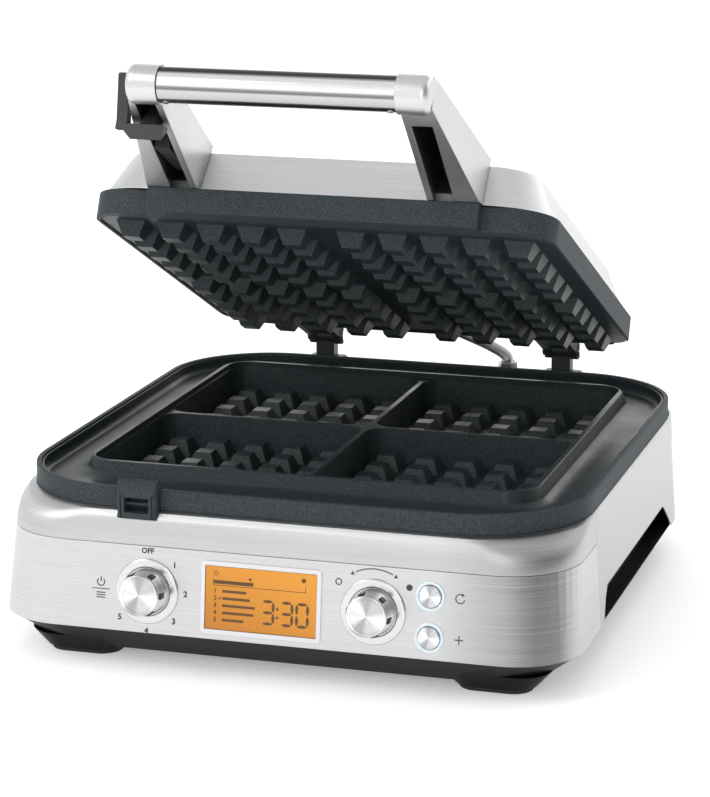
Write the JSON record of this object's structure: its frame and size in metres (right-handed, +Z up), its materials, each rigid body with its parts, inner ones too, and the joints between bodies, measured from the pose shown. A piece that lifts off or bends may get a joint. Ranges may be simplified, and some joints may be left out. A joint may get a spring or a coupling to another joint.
{
  "type": "waffle maker",
  "caption": "Square waffle maker with a hinged lid held part open, floating rear hinge, latch, two dials, two buttons and a lit display.",
  "frame": {"origin": "middle of the outline at table level", "axes": "+Z up, front with the controls towards -Y, +X to the right seen from the front"},
  "size_m": [0.392, 0.4593, 0.3918],
  "materials": {
    "tray_plastic": "satin",
    "pad_rubber": "matte",
    "brushed_panel": "brushed",
    "satin_steel": "satin",
    "brushed_lid": "brushed",
    "cast_frame": "speckled coating",
    "nonstick": "satin non-stick",
    "element_sheath": "matte",
    "shield_sheet": "satin",
    "ceramic": "matte",
    "black_plastic": "matte",
    "dark_casting": "satin",
    "black_rubber": "matte",
    "board_green": "satin",
    "lcd_amber": "lit",
    "lcd_lens": "clear",
    "trim_steel": "polished",
    "turned_steel": "turned",
    "ring_plastic": "frosted",
    "fastener": "satin",
    "chrome_pin": "polished",
    "satin_diecast": "satin",
    "polished_bar": "polished",
    "latch_plastic": "matte",
    "conduit_braid": "braided"
  },
  "bodies": {
    "base": {"base_tray": "tray_plastic", "foot_pads": "pad_rubber", "front_panel": "brushed_panel", "front_shoulder": "brushed_panel", "side_housing": "satin_steel", "lower_frame": "cast_frame", "lower_plate": "nonstick", "lower_element": "element_sheath", "lower_heat_shield": "shield_sheet", "lower_thermostat": "ceramic", "latch_keeper": "cast_frame", "hinge_housing": "black_plastic", "hinge_guides": "cast_frame", "cord_gland": "black_rubber", "control_board": "board_green", "board_posts": "black_plastic", "lcd_module": "lcd_amber", "lcd_window": "lcd_lens", "lcd_bezel": "trim_steel", "menu_bezel": "trim_steel", "shade_bezel": "trim_steel", "menu_encoder": "shield_sheet", "shade_encoder": "shield_sheet", "button_rings": "ring_plastic", "button_switches": "black_plastic", "tray_screws": "fastener", "wire_conduit": "conduit_braid", "conduit_nut_base": "fastener"},
    "hinge_carriage": {"hinge_yoke": "shield_sheet", "hinge_post_left": "dark_casting", "hinge_post_right": "dark_casting"},
    "lid": {"lid_frame": "cast_frame", "lid_shell": "brushed_lid", "upper_plate": "nonstick", "upper_element": "element_sheath", "upper_heat_shield": "shield_sheet", "upper_thermostat": "ceramic", "hinge_pins": "chrome_pin", "handle_leg_left": "satin_diecast", "handle_leg_right": "satin_diecast", "handle_bar": "polished_bar", "handle_rivets": "fastener", "latch_pin": "fastener", "latch_spring": "fastener", "conduit_nut_lid": "fastener"},
    "latch": {"latch_lever": "latch_plastic"},
    "menu_dial": {"menu_knob": "turned_steel"},
    "browning_dial": {"shade_knob": "turned_steel"},
    "restart_push": {"restart_button": "turned_steel"},
    "more_push": {"more_button": "turned_steel"}
  },
  "joints": [
    {"name": "hinge_float", "type": "slide", "parent": "base", "child": "hinge_carriage", "axis": [0, 0, 1], "range_m": [-0.0092, 0], "deforming": ["wire_conduit"]},
    {"name": "lid_hinge", "type": "hinge", "parent": "hinge_carriage", "child": "lid", "pos_m": [0, 0.2158, 0.1328], "axis": [-1, 0, 0], "range_deg": [-24.8, 80], "deforming": ["wire_conduit"]},
    {"name": "latch_swing", "type": "hinge", "parent": "lid", "child": "latch", "pos_m": [-0.09, -0.11166, 0.31814], "axis": [-1, 0, 0], "range_deg": [-45, 0], "stiffness_Nm_per_rad": 0.3, "springref_deg": 8.59},
    {"name": "menu_turn", "type": "hinge", "parent": "base", "child": "menu_dial", "pos_m": [-0.084, -0.21132, 0.0539], "axis": [0, -0.9945, 0.1047], "range_deg": [-135, 90]},
    {"name": "browning_turn", "type": "hinge", "parent": "base", "child": "browning_dial", "pos_m": [0.068, -0.21132, 0.0539], "axis": [0, -0.9945, 0.1047], "continuous": true},
    {"name": "restart_press", "type": "slide", "parent": "base", "child": "restart_push", "axis": [0, 0.9945, -0.1047], "range_m": [0, 0.0012], "stiffness_N_per_m": 800},
    {"name": "more_press", "type": "slide", "parent": "base", "child": "more_push", "axis": [0, 0.9945, -0.1047], "range_m": [0, 0.0012], "stiffness_N_per_m": 800}
  ]
}
